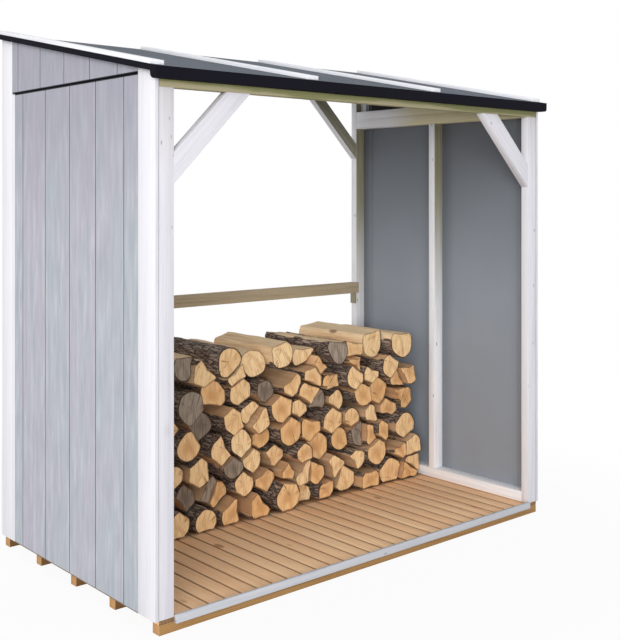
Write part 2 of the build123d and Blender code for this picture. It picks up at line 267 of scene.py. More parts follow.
def inner_panel(point, grey):
    """A smooth grey with painted shade under the roof and painted shadow in the corners before the studs.
    """
    panel_painted_shade = darkened(grey, 0.3)
    panel = point.noise((3.0, 3.0, 3.0), 2.0).mix(grey, darkened(grey, 0.86))
    # Painted shade: the panel darkens upwards under the roof
    panel = tinted(panel, (point.part(UP).step(panel_darkens_from, panel_darkest_at), 0.75, panel_painted_shade))
    # Painted shadow in the corner before each stud
    for stud in ("middle_stud_right", "back_post_right"):
        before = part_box(stud)[0].y - point.part(BACK)
        stud_painted_shadow = before.step(corner_reach, 0.0) * before.step(-behind_stud_front, 0.0)
        panel = tinted(panel, (stud_painted_shadow, 0.5, panel_painted_shade))
    return panel


# %% [markdown]
# ## White paint on planed softwood
# The posts, rails and corner boards wear an opaque white stain. From a step away they are white,
# but the soft grain has drunk more of it, knots have bled a little grey, and the streaks can be
# felt. Under the roof, painted shade turns the white khaki: higher up on the posts, studs and
# braces, and further forward on the top rails. The pieces under the roof and the roof battens
# have a brighter white as painted light, and the white trim outside has a lighter painted coat on
# the faces that look sideways. One function makes all these whites from a full and a thin coat.
# What only a few pieces have is a function of its own, handed over to it.

# %% A white finish
white_paint = colour(222, 220, 225), colour(208, 206, 213)
# painted light: a brighter coat for faces that look sideways
sideways_painted_light = colour(238, 236, 240), colour(229, 228, 234)
# painted light: a brighter white for pieces in the shade under the roof and for the roof battens
brightened_paint = colour(248, 248, 251), colour(232, 232, 237)
sill_paint = colour(198, 200, 204), colour(186, 187, 196)
bled_knot = colour(176, 170, 162)
bled_speck = colour(150, 150, 158)
# painted shade: the khaki that the white darkens to under the roof
khaki_painted_shade = colour(140, 134, 104)
# painted shadow in the open joint under the gable
joint_painted_shadow = colour(20, 21, 27)
board_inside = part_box("front_corner_board_right")[0].x


def grey_inside(point, coat):
    """Trim that stands beside the wall panels is as grey inside as they are."""
    inside = abs(point.part(RIGHT)).step(board_inside + 0.003, board_inside + 0.001)
    return inside.mix(coat, inner_panel(point, panel_grey))


def joint_shadow_on_rail(point, coat):
    """A rail behind the open joint of the gable gets painted shadow outside, which only shows in the
    joint.
    """
    outer_side = abs(point.part(RIGHT)).step(board_inside - 0.002, board_inside - 0.0005)
    return outer_side.mix(coat, joint_painted_shadow)


def painted_shade_fade(point, coat, streaks, axis, start, end, on_front, elsewhere, wood=khaki_painted_shade):
    """Painted shade that darkens the paint to a khaki tone along an axis, from its start to its end,
    with a strength on the faces that look to the front and another elsewhere."""
    front = point.facing(BACK).step(-0.5, -0.9)
    strength = front * (on_front - elsewhere) + elsewhere
    return (point.part(axis).step(start, end) * strength * (0.75 + streaks * 0.4)).mix(coat, wood)


def painted_finish(name, paint, side=None, fade=None, change=None):
    """White paint as a full and a thin coat. The side coats are painted light: brighter coats for the
    faces that look sideways.
    """
    finish, wire = new_finish(name)
    point = wire.object_point()
    place, rings, streaks, knots = wood_pattern(wire)
    thinner = streaks.step(0.38, 0.78)
    specks = place.spots((12.0, 30.0, 30.0), 0.15, 0.07, 0.74, 1)
    coat = tinted(thinner.mix(*paint), (rings, 0.2, paint[1]), (knots, 0.2, bled_knot),
                  (specks, 0.75, bled_speck))
    if side:
        # Painted light on the faces that look sideways
        coat = abs(wire.facing(RIGHT)).step(0.5, 0.8).mix(coat, thinner.mix(*side))
    if fade:
        coat = painted_shade_fade(point, coat, streaks, **fade)
    if change:
        coat = change(point, coat)
    close_finish(wire, coat, 0.5 + streaks * 0.2, streaks * 0.7 + rings * 0.3, 0.0005)
    return finish


# %% The white finishes
header_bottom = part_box("front_header")[0].z
# Painted shade: khaki under the header, up the studs and braces, and towards the front of the top rails
rail_shade_tone = colour(226, 214, 166)
post_shade = dict(axis=UP, start=header_bottom - 0.35, end=header_bottom + 0.05,
                 on_front=0.22, elsewhere=0.0)
stud_shade = dict(axis=UP, start=0.6, end=1.6, on_front=1.0, elsewhere=0.0)
brace_shade = dict(axis=UP, start=0.5, end=1.0, on_front=0.9, elsewhere=0.1)
rail_shade = dict(axis=BACK, start=0.35, end=0.05, on_front=0.9, elsewhere=0.9, wood=rail_shade_tone)
white_finish = painted_finish("white paint", white_paint, sideways_painted_light)
post_finish = painted_finish("white paint on front posts", white_paint, sideways_painted_light, post_shade)
corner_finish = painted_finish("white paint on wall trim", white_paint, sideways_painted_light, change=grey_inside)
# Painted light: a brighter white for pieces that get little light
brightened_white_finish = painted_finish("white paint under the roof", brightened_paint)
inner_finish = painted_finish("white paint with painted shade", brightened_paint, fade=stud_shade)
brace_finish = painted_finish("white paint on back braces", brightened_paint, fade=brace_shade)
top_finish = painted_finish("white paint on top rails", brightened_paint, fade=rail_shade, change=joint_shadow_on_rail)
sill_finish = painted_finish("blue-white paint on the sill", sill_paint)
print("White finishes: 8")

# %% [markdown]
# ## Bare timber
# The rest is unpainted softwood, and it differs in colour and in how strongly the rings show: a
# green front header with a pale lower edge, a pale rail across the back, a khaki back header,
# golden bearers, warm deck boards and roof wood whose dark colour is painted shade. One function
# takes the colours of the early wood, the late wood, the knots and the sawn ends. Deck boards
# darken along their edges, painted shadow darkens them under the stack, and painted shade darkens
# the bearers under the floor, again by functions that are handed over.

# %% A bare finish
stack_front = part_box("firewood_course_1")[0].y + 0.01
stack_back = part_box("firewood_course_1")[1].y - 0.01
bearers_front, bearers_back = (corner.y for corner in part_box("floor_bearers"))
pale_height = header_bottom + 0.009
pale_wood = colour(176, 166, 134)
deck_joint_and_stack_shadow = colour(100, 62, 36)
underfloor_painted_shade = colour(96, 66, 34)


def pale_below(point, wood):
    """The header has a pale lower edge with an uneven border."""
    uneven = (point.attribute("tree_place", "Vector").noise((3.5, 9.0, 9.0), 2.0) - 0.5) * 0.05
    low = (point.part(UP) + uneven).step(pale_height + 0.006, pale_height - 0.006)
    return tinted(wood, (low, 0.85, pale_wood))


def dark_joints_and_stack_shadow(point, wood):
    """Deck boards are darker along their edges, and painted shadow darkens them under the stack."""
    edges = abs(point.attribute("beside")).step(0.91, 0.98)
    back = point.part(BACK)
    # Painted shadow under the stack
    stack_painted_shadow = back.step(stack_front, stack_front + 0.05) * back.step(stack_back, stack_back - 0.05)
    return tinted(wood, (edges, 0.65, deck_joint_and_stack_shadow), (stack_painted_shadow, 0.75, deck_joint_and_stack_shadow))


def shade_under_floor(point, wood):
    """Painted shade darkens the bearers under the floor, but not near the front or at the very back."""
    back = point.part(BACK)
    behind_front = back.step(bearers_front + 0.08, bearers_front + 0.1)
    # Painted shade under the floor
    underfloor_mask = behind_front * back.step(bearers_back - 0.001, bearers_back - 0.005)
    return tinted(wood, (underfloor_mask, 0.75, underfloor_painted_shade))


def bare_finish(name, early, late, knot, end, change=None, tone_share=0.3):
    """Unpainted wood. The tone of a board takes it towards the colour of the late wood."""
    finish, wire = new_finish(name)
    place, rings, streaks, knots = wood_pattern(wire)
    grain = (rings * 0.5 + streaks.step(0.4, 0.75) * 0.5).mix(early, late)
    wood = tinted(grain, (knots, 0.8, knot), (wire.attribute("tone"), tone_share, late))
    if change:
        wood = change(wire.object_point(), wood)
    wood = wire.attribute("sawn_end").step(0.4, 0.6).mix(wood, (rings * 0.5).mix(end, late))
    close_finish(wire, wood, 0.6 + streaks * 0.2, streaks * 0.6 + rings * 0.4, 0.0009)
    return finish


# %% The bare finishes
header_finish = bare_finish("green treated timber", colour(146, 145, 102), colour(116, 118, 70),
                            colour(88, 80, 46), colour(160, 150, 110), pale_below)
rail_finish = bare_finish("pale treated timber", colour(204, 186, 158), colour(162, 144, 114),
                          colour(96, 80, 60), colour(180, 166, 138))
khaki_finish = bare_finish("khaki treated timber", colour(176, 168, 146), colour(134, 124, 98),
                           colour(88, 78, 60), colour(176, 164, 136))
bearer_finish = bare_finish("golden bearer timber", colour(176, 136, 86), colour(142, 104, 58),
                            colour(104, 66, 38), colour(206, 158, 106), shade_under_floor)
# The dark colour of the deck's sawn ends is painted shadow under the feet of the posts
deck_finish = bare_finish("warm deck boards", colour(255, 220, 178), colour(236, 182, 136),
                          colour(150, 98, 64), colour(88, 70, 46), dark_joints_and_stack_shadow, 0.45)
# The dark colours of the roof wood are painted shade, as it is seen from below
painted_shade_roof_finish = bare_finish("roof boards", colour(96, 88, 76), colour(70, 62, 52),
                               colour(52, 44, 36), colour(104, 92, 76))
print("Bare finishes: 6")

# %% [markdown]
# ## Stained boards outside, a smooth panel inside
# Each wall is one grooved sheet. Outside, the grooves make it look like boards, each with its own
# shade of blue-grey stain and grain that runs upright. Inside, it is smooth and a darker grey.
# The board that a point lies on is the whole part of its distance from the first groove, counted
# in boards, and a white noise node turns that number into a shade.

# %% Measures and colours of the walls
board_pitch = 0.1935
first_groove = 0.092
gable_first_groove = 0.136
groove_depth = 0.004
wall_thickness = 0.015
front_corner_width = 0.107
outer_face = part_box("front_corner_board_right")[1].x
panel_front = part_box("front_corner_board_right")[0].y + front_corner_width
bottom_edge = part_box("wall_boards_left")[0].z
gap_height = (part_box("wall_boards_left")[1].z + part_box("gable_boards_left")[0].z) / 2
gap_reach = 0.0065
blue_stain = colour(181, 186, 192)
lilac_stain = colour(187, 182, 193)
dark_streak = colour(160, 165, 175)
pale_streak = colour(208, 211, 218)
short_dash = colour(164, 170, 180)
# painted shade from the roof on the upper boards
painted_roof_shade = colour(148, 144, 158)
grey_knot = colour(140, 144, 152)
# painted shade in the grooves between boards
groove_painted_shade = colour(58, 58, 68)
raw_edge = colour(126, 106, 88)
# painted shade: the inside of the gable is nearly black
gable_inside_painted_shade = colour(40, 36, 34)
print("Outer face at", round(outer_face, 3), "m, boards", board_pitch, "m wide")

# %% Stained finishes
def grain_of_boards(point, first_groove):
    """A place for the grain that jumps by any uneven step from board to board, and a shade for each."""
    side = point.math("SIGN", point.part(RIGHT))
    from_groove = point.part(BACK) - (panel_front + first_groove - board_pitch)
    board = point.math("FLOOR", from_groove * (1 / board_pitch))
    shade = point.node("TexWhiteNoise", {"noise_dimensions": "1D"}, {"W": board + side * 20.0})
    shift = point.node("CombineXYZ", None, {0: board * 3.7, 1: 0.0, 2: board * 1.3 + side})
    return point.vector("ADD", shift), shade


def stain_on(point, grain, shade, streaks):
    """The stain on the boards, with painted shade in the grooves and under the roof, the lower edge, and
    painted shadow in the joint above.
    """
    height = point.part(UP)
    dashes = grain.noise((150.0, 150.0, 9.0), 3.0)
    clouds = grain.noise((9.0, 9.0, 2.2), 3.0)
    lilac = clouds.step(0.42, 0.6) * 0.5 + shade.step(0.3, 0.9) * 0.5
    in_groove = abs(point.part(RIGHT)).step(outer_face - 0.0002, outer_face - groove_depth / 2)
    # Painted shadow in the open joint between the wall and the gable
    joint_shadow_mask = abs(height - gap_height).step(gap_reach + 0.001, gap_reach - 0.001)
    return tinted(lilac.mix(blue_stain, lilac_stain),
                  (streaks.step(0.5, 0.66), 0.4, dark_streak),
                  (streaks.step(0.49, 0.34), 0.35, pale_streak),
                  (dashes.step(0.5, 0.66), 0.55, short_dash),
                  # painted shade from the roof on the upper boards
                  (height.step(1.2, 1.9), 0.5, painted_roof_shade),
                  (grain.spots((9.0, 9.0, 4.0), 0.14, 0.06, 0.84), 0.5, grey_knot),
                  # painted shade in the grooves
                  (in_groove, 1.0, groove_painted_shade),
                  (height.step(bottom_edge + 0.006, bottom_edge + 0.001), 1.0, raw_edge),
                  (joint_shadow_mask, 1.0, joint_painted_shadow))


def stained_finish(name, first_groove, inner):
    """Stain outside with a shade for each board, and a smooth inner face of one colour."""
    finish, wire = new_finish(name)
    point = wire.object_point()
    grain, shade = grain_of_boards(point, first_groove)
    streaks = grain.noise((40.0, 40.0, 5.0), 5.0)
    depth = abs(point.part(RIGHT))
    inside = depth.step(outer_face - wall_thickness * 0.6, outer_face - wall_thickness * 0.8)
    both = inside.mix(stain_on(point, grain, shade, streaks), inner_panel(point, inner))
    close_finish(wire, both, 0.55 + streaks * 0.2, streaks * (1 - inside), 0.0008)
    return finish


wall_finish = stained_finish("blue-grey stained boards", first_groove, panel_grey)
gable_finish = stained_finish("blue-grey gable boards", gable_first_groove, gable_inside_painted_shade)
print("Stained finishes: 2")

# %% [markdown]
# ## Roofing felt
# Felt is bitumen with crushed slate rolled into its upper side. The slate makes the roof blue-grey
# on top, while the folded edges, where the slate has been bent off, are almost black. The
# direction that the surface faces tells the two apart.

# %% Felt finish
def felt_finish():
    """Slate grit where the felt faces up, and bare bitumen on its folded edges."""
    finish, wire = new_finish("slate felt")
    point = wire.object_point()
    grit = point.noise((420.0, 420.0, 420.0), 2.0)
    stains = point.noise((3.0, 1.2, 3.0), 3.0)
    slate = grit.step(0.3, 0.7).mix(colour(88, 94, 102), colour(120, 126, 134))
    slate = tinted(slate, (stains.step(0.4, 0.75), 0.4, colour(90, 96, 104)))
    bitumen = grit.step(0.35, 0.7).mix(colour(14, 13, 20), colour(25, 24, 35))
    felt = wire.facing(UP).step(0.7, 0.95).mix(bitumen, slate)
    close_finish(wire, felt, 0.75 + grit * 0.2, grit, 0.0008, 0.1)
    return finish


slate_finish = felt_finish()
print("Felt:", slate_finish.name)

# %% [markdown]
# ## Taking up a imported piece
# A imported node's mesh is loose triangles. A copy of it is merged, and its flat faces are made
# whole again, before it can be bevelled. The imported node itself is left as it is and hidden.

# %% Copy, separate and join
merge_distance = 0.00005
flat_below = math.radians(1)


def activate(*pieces):
    """Selects these pieces and no others, and makes the first one active."""
    bpy.ops.object.select_all(action="DESELECT")
    for piece in pieces:
        piece.select_set(True)
    bpy.context.view_layer.objects.active = pieces[0]


def merge(piece, clean_up, **settings):
    """Merges points that share a place, and runs one more operator on the whole mesh."""
    activate(piece)
    bpy.ops.object.mode_set(mode="EDIT")
    bpy.ops.mesh.select_all(action="SELECT")
    bpy.ops.mesh.remove_doubles(threshold=merge_distance)
    clean_up(**settings)
    bpy.ops.object.mode_set(mode="OBJECT")


def copy_of(node, name):
    """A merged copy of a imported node, with each flat face in one piece."""
    piece = bpy.data.objects.new(name, nodes[node].data.copy())
    bpy.context.scene.collection.objects.link(piece)
    piece.data.materials.clear()
    activate(piece)
    bpy.ops.mesh.customdata_custom_splitnormals_clear()
    merge(piece, bpy.ops.mesh.dissolve_limited, angle_limit=flat_below)
    return piece


def separated(piece):
    """The loose parts of a piece, in the order of their places."""
    activate(piece)
    bpy.ops.mesh.separate(type="LOOSE")
    return sorted(bpy.context.selected_objects, key=lambda part: tuple(part.bound_box[0]))


def joined(parts, name):
    """All parts as one piece."""
    activate(*parts)
    bpy.ops.object.join()
    piece = bpy.context.view_layer.objects.active
    piece.name = name
    piece.data.name = name
    return piece


# %% Measure, store and stand in
def points_of(piece):
    """The places of a piece's vertices as rows of three numbers."""
    points = np.empty(len(piece.data.vertices) * 3)
    piece.data.vertices.foreach_get("co", points)
    return points.reshape(-1, 3)


def store(piece, name, values):
    """Stores one number, or three, for each vertex."""
    kind, field = ("FLOAT_VECTOR", "vector") if values.ndim == 2 else ("FLOAT", "value")
    attribute = piece.data.attributes.new(name, kind, "POINT")
    attribute.data.foreach_set(field, values.astype(np.float32).ravel())


def stands_for(piece, node):
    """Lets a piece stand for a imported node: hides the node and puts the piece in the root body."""
    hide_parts(node)
    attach(piece, "root")


# %% [markdown]
# ## Sawn and planed timber
# Real boards have arrises, edges that were eased by the planer, and it is the light on them that
# makes a board look solid. A Bevel modifier rounds them all at once, because it takes every edge
# over an angle. Each board then stores its place in the tree, with the pith somewhere beyond one
# of its faces, so that no two boards show the same figure.

# %% Making a piece of timber
bevel_segments = 2
rounded_over = math.radians(30)
smooth_below = math.radians(35)
longest_shift = 50
pith_aside, pith_below = (-0.06, 0.06), (0.03, 0.09)
board_random = random.Random(5)


def ease_arrises(piece, arris):
    """Rounds the edges of every board of a piece."""
    bevel = piece.modifiers.new("arris", "BEVEL")
    bevel.width = arris
    bevel.segments = bevel_segments
    bevel.limit_method = "ANGLE"
    bevel.angle_limit = rounded_over
    activate(piece)
    bpy.ops.object.modifier_apply(modifier=bevel.name)


def store_grain(board, along, arris):
    """Stores where the ends were sawn, the place in the tree, a tone, and how far to its sides each
    vertex lies."""
    trunk = Vector(along).normalized()
    first = trunk.orthogonal().normalized()
    axes = np.array([trunk, first, trunk.cross(first)])
    points = points_of(board)
    centre = (points.min(axis=0) + points.max(axis=0)) / 2
    place = (points - centre) @ axes.T
    reach = np.abs(place[:, 0]).max()
    store(board, "sawn_end", (np.abs(place[:, 0]) > reach - arris / 2).astype(float))
    shift = board_random.uniform(0, longest_shift)
    pith = (shift, board_random.uniform(*pith_aside), board_random.uniform(*pith_below))
    store(board, "tree_place", place + pith)
    store(board, "tone", np.full(len(points), board_random.random()))
    level_axis = 1 if abs(first.z) < 0.5 else 2
    store(board, "beside", place[:, level_axis] / np.abs(place[:, level_axis]).max())


def timber(node, along, finish, arris=0.0015):
    """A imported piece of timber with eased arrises, grain along one direction and a finish."""
    piece = copy_of(node, node + "_timber")
    ease_arrises(piece, arris)
    boards = separated(piece)
    for board in boards:
        store_grain(board, along, arris)
    piece = joined(boards, node + "_timber")
    piece.data.materials.append(finish)
    bpy.ops.object.shade_smooth_by_angle(angle=smooth_below)
    stands_for(piece, node)


# %% [markdown]
# ## The frame, the floor and the roof
# The two sides are mirror images, so one loop makes both. The rise of the gable's top rail, less
# about the height of its end, gives the direction in which the grain of the sloping pieces runs.

# %% Timber pieces
ACROSS, UPRIGHT, DEEP = (1, 0, 0), (0, 0, 1), (0, 1, 0)
rail_end_height = 0.03
roof_low, roof_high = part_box("gable_top_rail_left")
roof_run = Vector((0, roof_high.y - roof_low.y, roof_high.z - roof_low.z - rail_end_height))
for side in ("left", "right"):
    timber(f"front_post_{side}", UPRIGHT, post_finish)
    for board in ("front_corner_board", "back_corner_board", "cover_strip"):
        timber(f"{board}_{side}", UPRIGHT, corner_finish)
    for stud in ("back_post", "middle_stud"):
        timber(f"{stud}_{side}", UPRIGHT, inner_finish)
    timber(f"gable_stud_{side}", UPRIGHT, brightened_white_finish)
    timber(f"bottom_rail_{side}", DEEP, brightened_white_finish)
    for rail in ("top_rail", "gable_rail"):
        timber(f"{rail}_{side}", DEEP, top_finish)
    timber(f"gable_top_rail_{side}", roof_run, top_finish)
    slant = 1 if side == "left" else -1
    timber(f"front_brace_{side}", (slant, 0, 1), white_finish)
    timber(f"back_brace_{side}", (slant, 0, 1), brace_finish)

timber("front_sill", ACROSS, sill_finish, 0.003)
timber("front_header", ACROSS, header_finish)
timber("back_header", ACROSS, khaki_finish)
timber("back_mid_rail", ACROSS, rail_finish, 0.002)
timber("rail_cleats", UPRIGHT, khaki_finish, 0.001)
timber("floor_bearers", ACROSS, bearer_finish, 0.002)
timber("floor_deck", DEEP, deck_finish, 0.002)
timber("rafters", roof_run, painted_shade_roof_finish)
timber("roof_boards", ACROSS, painted_shade_roof_finish)
timber("eave_batten", ACROSS, painted_shade_roof_finish)
# The battens take the brighter white as painted light
timber("roof_battens", roof_run, brightened_white_finish)

# %% [markdown]
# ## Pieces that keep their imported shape
# The grooved wall sheets and the folded felt have the right shape already, so they only take
# their finish.

# %% Walls and felt
finish_of_node = {"roof_felt": slate_finish}
for side in ("left", "right"):
    finish_of_node[f"wall_boards_{side}"] = wall_finish
    finish_of_node[f"gable_boards_{side}"] = gable_finish
for node, finish in finish_of_node.items():
    nodes[node].data.materials.clear()
    nodes[node].data.materials.append(finish)
print("Packed shapes kept:", ", ".join(finish_of_node))

# %% [markdown]
# ## The sawn end of a log
# A fresh end is pale, with rings round the pith, fine lines from the saw and a few drying cracks
# that run outwards, inside a thin dark rim of bark. An end that has stood in the weather is grey
# brown. Bark doesn't stop at a straight line, so an attribute tells how many metres inside the
# bark a point lies, and a little noise on it gives a torn border.

# %% Patterns of a sawn end
bark_edge = 0.004
crack_shade = colour(96, 62, 38)
# a darker edge of the wood, with painted shadow of the gaps between logs
rim_edge_and_shadow = colour(92, 58, 38)
rim_bark = colour(70, 52, 42)


def bark_share(place):
    """1 on bark and 0 on split wood, with a torn border between them."""
    torn = (place.noise((18.0, 60.0, 60.0), 3.0) - 0.5) * 0.05
    return (place.attribute("bark_cover") + torn).step(-bark_edge, bark_edge)


def cracks_in(place, tone):
    """Fine lines that run out from the pith, in directions of their own on each log."""
    turn = place.math("ARCTAN2", place.part(2), place.part(1))
    around = {"W": turn * 1.1 + tone * 70.0, "Scale": 1.0, "Detail": 0.0}
    return abs(place.node("TexNoise", {"noise_dimensions": "1D"}, around) - 0.5).step(0.006, 0.001)


# %% Sawn ends
def end_finish(name, pale, warm, heart, line):
    """A sawn end. Towards the middle the heartwood is darker, as far as the tone of the log says."""
    finish, wire = new_finish(name)
    place = wire.attribute("tree_place", "Vector")
    rings = rings_in(place)
    tone = wire.attribute("tone")
    saw = place.noise((0.0, 170.0, 14.0), 3.0)
    blotches = place.noise((0.0, 26.0, 20.0), 3.0)
    cracks = cracks_in(place, tone) * blotches.step(0.46, 0.56)
    inward = wire.attribute("inward").step(0.25, 0.85)
    from_rim = wire.attribute("from_rim")
    thickness = 0.002 + blotches * 0.006
    rim = (from_rim - thickness).step(0.0008, -0.0008) * bark_share(place)
    wood = tinted(tone.mix(pale, warm),
                  (inward * tone.step(0.3, 0.7), 0.75, heart),
                  (saw.step(0.42, 0.7), 0.65, line),
                  (rings, 0.2, line),
                  (blotches.step(0.5, 0.72), 0.5, heart),
                  (cracks, 1.0, crack_shade),
                  # darker edge, with painted shadow of the gaps between logs
                  (from_rim.step(0.0065, 0.0015), 0.75, rim_edge_and_shadow),
                  (rim, 1.0, rim_bark))
    close_finish(wire, wood, 0.7 + saw * 0.15, saw * 0.5 + rings * 0.2 - cracks - rim * 0.3, 0.0015)
    return finish


fresh_end = end_finish("sawn end", colour(253, 222, 172), colour(236, 186, 128),
                       colour(206, 150, 94), colour(200, 154, 106))
old_end = end_finish("weathered end", colour(170, 154, 136), colour(146, 128, 110),
                     colour(112, 98, 86), colour(78, 68, 60))
print("Ends:", fresh_end.name, "and", old_end.name)

# %% [markdown]
# ## The long sides of a log
# Bark is a dark skin of plates with furrows between them. A split face is fibrous and a little
# pink, with bands and fibres along the log. Both are one finish, because the border between them
# winds along a side.

# %% Bark and split wood
def bark_on(place, tone, crumbs):
    """The colour and the height of bark: crumbly plates with dark furrows between them."""
    bend = place.noise((22.0, 60.0, 60.0), 3.0, "Color").vector("MULTIPLY", (0.05, 0.014, 0.014))
    cells = {"Vector": place.vector("ADD", bend).vector("MULTIPLY", (15.0, 84.0, 84.0)), "Scale": 1.0}
    edge = place.node("TexVoronoi", {"feature": "DISTANCE_TO_EDGE"}, cells)
    plate = place.node("TexVoronoi", None, cells, "Color").part(0)
    pale = crumbs.step(0.35, 0.7) * 0.45 + plate.step(0.2, 0.9) * 0.55
    bark = tinted(pale.mix(colour(102, 84, 72), colour(204, 184, 168)),
                  (tone, 0.4, colour(134, 110, 92)),
                  (edge.step(0.16, 0.02), 0.85, colour(52, 40, 34)))
    return bark, edge.step(0.0, 0.25) * 0.7 + crumbs * 0.3


def split_on(place, tone):
    """The colour and the height of split wood, with painted shade on the logs inside the stack."""
    bands = place.noise((2.0, 30.0, 30.0), 3.0)
    fibres = place.noise((9.0, 220.0, 220.0), 3.0)
    split = tinted(tone.mix(colour(254, 226, 184), colour(246, 200, 150)),
                   (bands.step(0.5, 0.75), 0.5, colour(222, 166, 116)),
                   (fibres.step(0.45, 0.75), 0.5, colour(200, 146, 100)),
                   (bands.step(0.42, 0.3), 0.4, colour(255, 236, 200)),
                   # painted shade on the split faces of the logs inside the stack
                   (place.attribute("painted_stack_shade"), 0.45, colour(150, 100, 66)),
                   (knots_in(place), 0.7, colour(122, 78, 50)))
    return split, bands * 0.35 + fibres * 0.35


def side_finish():
    """The long faces of a log: bark where it was left on, and split wood where the axe went."""
    finish, wire = new_finish("bark and split wood")
    place = wire.attribute("tree_place", "Vector")
    tone = wire.attribute("tone")
    crumbs = place.noise((90.0, 160.0, 160.0), 4.0)
    bark, bark_height = bark_on(place, tone, crumbs)
    split, split_height = split_on(place, tone)
    barked = bark_share(place)
    height = bark_height * barked + split_height * (1 - barked)
    close_finish(wire, barked.mix(split, bark), 0.78 + crumbs * 0.15, height, 0.0035)
    return finish


log_finishes = [fresh_end, old_end, side_finish()]
FRESH, OLD, SIDE = range(3)
print("Log finishes:", ", ".join(finish.name for finish in log_finishes))

# %% [markdown]
# ## From a packed log to a real one
# A packed log is a prism: the outline that it fills in the stack, pushed straight back. Its outline
# is read from the prism and walked round in even steps. Short sides are chords of the round that
# the tree had, so they bear bark, and there the outline is softened into a curve. Long sides are
# where the axe went or where a neighbour presses. The longest one is split wood, unless the log was
# left whole, and its corners stay sharp.

# %% Outline of a log
steps_around = 56
clear_corner = math.radians(22)


def outline_of(log):
    """The even outline of a packed log as steps_around points, the width of the side that each point
    lies on, the number of that side, and the y of the log's two ends."""
    points = points_of(log)
    front, back = points[:, 1].min(), points[:, 1].max()
    corners = points[points[:, 1] < front + merge_distance][:, (0, 2)]
    middle = corners.mean(axis=0)
    corners = corners[np.argsort(np.arctan2(corners[:, 1] - middle[1], corners[:, 0] - middle[0]))]
    closed = np.vstack([corners, corners[:1]])
    sides = np.diff(closed, axis=0)
    widths = np.linalg.norm(sides, axis=1)
    walked = np.concatenate([[0], np.cumsum(widths)])
    stops = np.linspace(0, walked[-1], steps_around, endpoint=False)
    outline = np.column_stack([np.interp(stops, walked, closed[:, axis]) for axis in (0, 1)])
    side = np.searchsorted(walked, stops, side="right") - 1

    # The step nearest to a clear corner moves to it, so that the corner isn't cut off
    bearings = np.arctan2(sides[:, 1], sides[:, 0])
    turns = (bearings - np.roll(bearings, 1) + math.pi) % (2 * math.pi) - math.pi
    for corner in corners[np.abs(turns) > clear_corner]:
        outline[np.linalg.norm(outline - corner, axis=1).argmin()] = corner
    return outline, widths[side], side, front, back


def softened(outline, softness, rounds):
    """Each point moves towards the middle of its neighbours, as far as its softness allows."""
    for _ in range(rounds):
        pull = (np.roll(outline, 1, axis=0) + np.roll(outline, -1, axis=0)) / 2 - outline
        outline = outline + softness[:, None] * pull / 2
    return outline


# %% [markdown]
# ## Bark and the axe
# Chance decides which of the sides that press on a neighbour bear bark, and from which logs one
# more slab was split. Eight logs on top are the exception: they lie open, so their looks were
# chosen one by one.

# %% Bark and split faces
longest_chord = 0.0125
widest_on_round = 0.065
whole_round_share = 0.45
pressed_bark_share = 0.6
least_bark_to_split = 0.25
axe_swing = 0.6
axe_depths = (0.32, 0.68)
far_from_border = 0.5
log_random = random.Random(23)

# By course and place from the left: bark from one direction to another, the direction of the axe
# cut and its share of the radius, and the kind of end. Directions are degrees from the right over
# the top.
top_looks = {
    (7, 3): (150, 390, 90, 0.75, OLD),
    (7, 6): (200, 340, 80, 0.9, FRESH),
    (7, 7): (215, 350, 105, 0.8, FRESH),
    (7, 9): (0, 360, 84, 0.62, OLD),
    (7, 11): (-60, 75, 98, 0.66, FRESH),
    (7, 12): (160, 380, 86, 0.66, FRESH),
    (8, 1): (0, 360, 0, 2.0, FRESH),
    (8, 2): (200, 320, 90, 0.9, FRESH),
}


def with_axe_cut(outline, on_bark, turn, depth):
    """Splits a slab off one side of a log, which leaves one more flat face."""
    heart = outline.mean(axis=0)
    normal = np.array([math.cos(turn), math.sin(turn)])
    beyond = (outline - heart) @ normal - np.linalg.norm(outline - heart, axis=1).mean() * depth
    return outline - np.maximum(beyond, 0)[:, None] * normal, on_bark & (beyond < 0)


def by_chance(outline, widths, side, axe_share):
    """The outline after the axe, where it bears bark, and whether the log was left whole."""
    whole = widths.max() < widest_on_round and log_random.random() < whole_round_share
    pressed = np.array([log_random.random() < pressed_bark_share for _ in range(side.max() + 1)])
    on_bark = (widths < longest_chord) | (pressed[side] & (widths < widths.max())) | whole
    if not whole and on_bark.mean() > least_bark_to_split and log_random.random() < axe_share:
        to_bark = outline[on_bark].mean(axis=0) - outline.mean(axis=0)
        turn = math.atan2(to_bark[1], to_bark[0]) + log_random.uniform(-axe_swing, axe_swing)
        outline, on_bark = with_axe_cut(outline, on_bark, turn, log_random.uniform(*axe_depths))
    return outline, on_bark, whole


def as_chosen(outline, bark_from, bark_to, cut, depth):
    """The outline after the axe and where it bears bark, for a log that lies open."""
    away = outline - outline.mean(axis=0)
    directions = np.arctan2(away[:, 1], away[:, 0])
    on_bark = np.degrees(directions - math.radians(bark_from)) % 360 < bark_to - bark_from
    return with_axe_cut(outline, on_bark, math.radians(cut), depth)


def border_distance(on_bark, step):
    """Metres round the outline to the nearest border of the bark: above 0 on bark, below 0 off it."""
    if on_bark.all() or not on_bark.any():
        return np.where(on_bark, far_from_border, -far_from_border)
    spots = np.arange(len(on_bark))
    apart = np.abs(spots[:, None] - spots)
    apart = np.minimum(apart, len(on_bark) - apart)
    other = on_bark[:, None] != on_bark
    nearest = np.where(other, apart, len(on_bark)).min(axis=1) - 0.5
    return np.where(on_bark, nearest, -nearest) * step


print("Logs with a chosen look:", len(top_looks))

